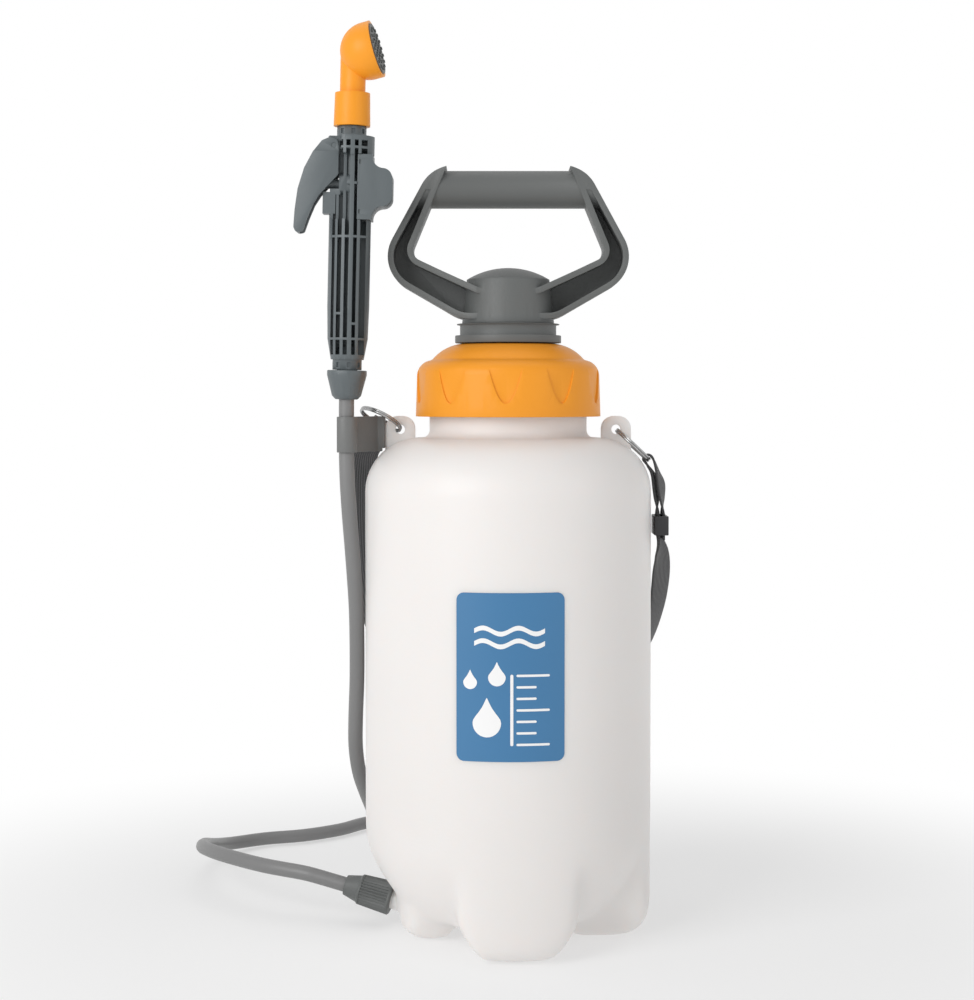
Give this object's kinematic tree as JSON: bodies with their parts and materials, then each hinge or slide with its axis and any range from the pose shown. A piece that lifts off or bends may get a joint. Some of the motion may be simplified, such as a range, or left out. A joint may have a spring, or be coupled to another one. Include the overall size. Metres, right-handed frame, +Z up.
{
  "type": "camp shower pump",
  "caption": "Pump-up camp shower: a translucent bottle on moulded feet with a screw cap, hand pump, base outlet, hose, carrying strap and a trigger handset with a swivelling shower head.",
  "frame": {"origin": "on the floor, on the bottle's axis", "axes": "+Z up along the bottle's axis, +X towards the strap's adjuster, -Y towards the side with the printed panel"},
  "size_m": [0.3218, 0.4145, 0.5693],
  "materials": {
    "bottle_plastic": "translucent blow-moulded polyethylene",
    "orange_plastic": "satin moulded polypropylene",
    "grey_plastic": "grained moulded polypropylene",
    "slate_plastic": "satin moulded polypropylene",
    "dark_plastic": "satin",
    "hose_pvc": "satin extruded hose",
    "webbing": "woven webbing",
    "ring_steel": "bright wire",
    "seal_rubber": "matt"
  },
  "bodies": {
    "bottle_set": {"bottle": "bottle_plastic", "outlet_washer": "seal_rubber", "outlet_tail": "slate_plastic", "outlet_nut": "slate_plastic", "hose_lower": "hose_pvc", "hose_coil": "hose_pvc", "hose_tie": "seal_rubber", "hose_upper": "hose_pvc", "hose_clip": "grey_plastic", "ring_left": "ring_steel", "ring_right": "ring_steel", "strap": "webbing", "strap_slider": "dark_plastic", "handset_body": "slate_plastic", "handset_nut": "slate_plastic", "trigger_pin": "slate_plastic", "valve_cover": "slate_plastic", "head_seal": "seal_rubber"},
    "pump_unit": {"pump_barrel": "slate_plastic", "pump_collar": "grey_plastic", "neck_gasket": "seal_rubber", "valve_plate": "slate_plastic"},
    "cap_ring": {"cap": "orange_plastic"},
    "plunger": {"piston": "orange_plastic", "piston_seal": "seal_rubber"},
    "pump_handle": {"handle": "grey_plastic", "pump_rod": "slate_plastic"},
    "non_return": {"valve_disc": "seal_rubber"},
    "trigger_lever": {"trigger": "slate_plastic"},
    "water_valve": {"valve_stem": "slate_plastic", "stem_seal": "seal_rubber", "valve_spring": "ring_steel"},
    "head_set": {"shower_head": "orange_plastic", "spray_plate": "grey_plastic"}
  },
  "joints": [
    {"name": "pump_lift", "type": "slide", "parent": "bottle_set", "child": "pump_unit", "axis": [0, 0, 1], "range_m": [0, 0.0101]},
    {"name": "cap_turn", "type": "hinge", "parent": "pump_unit", "child": "cap_ring", "pos_m": [0, 0, 0.34], "axis": [0, 0, 1], "range_deg": [0, 450]},
    {"name": "pump_stroke", "type": "slide", "parent": "pump_unit", "child": "plunger", "axis": [0, 0, 1], "range_m": [0, 0.16]},
    {"name": "handle_turn", "type": "hinge", "parent": "plunger", "child": "pump_handle", "pos_m": [0, 0, 0.4], "axis": [0, 0, 1], "range_deg": [0, 90]},
    {"name": "non_return_lift", "type": "slide", "parent": "pump_unit", "child": "non_return", "axis": [0, 0, 1], "range_m": [0, 0.0012]},
    {"name": "trigger_pull", "type": "hinge", "parent": "bottle_set", "child": "trigger_lever", "pos_m": [-0.10692, -0.027, 0.49272], "axis": [0, -1, 0], "range_deg": [0, 14], "stiffness_Nm_per_rad": 1.2, "springref_deg": -6.88},
    {"name": "valve_push", "type": "slide", "parent": "bottle_set", "child": "water_valve", "axis": [0.9998, 0, -0.0223], "range_m": [0, 0.0058], "deforming": ["valve_spring"]},
    {"name": "head_swivel", "type": "hinge", "parent": "bottle_set", "child": "head_set", "pos_m": [-0.09616, -0.027, 0.51356], "axis": [0.0223, 0, 0.9998], "continuous": true}
  ],
  "couplings": [
    {"joint": "pump_lift", "follows": "cap_turn", "m_per_rad": 0.0012732},
    {"joint": "valve_push", "follows": "trigger_pull", "m_per_rad": 0.02303}
  ]
}
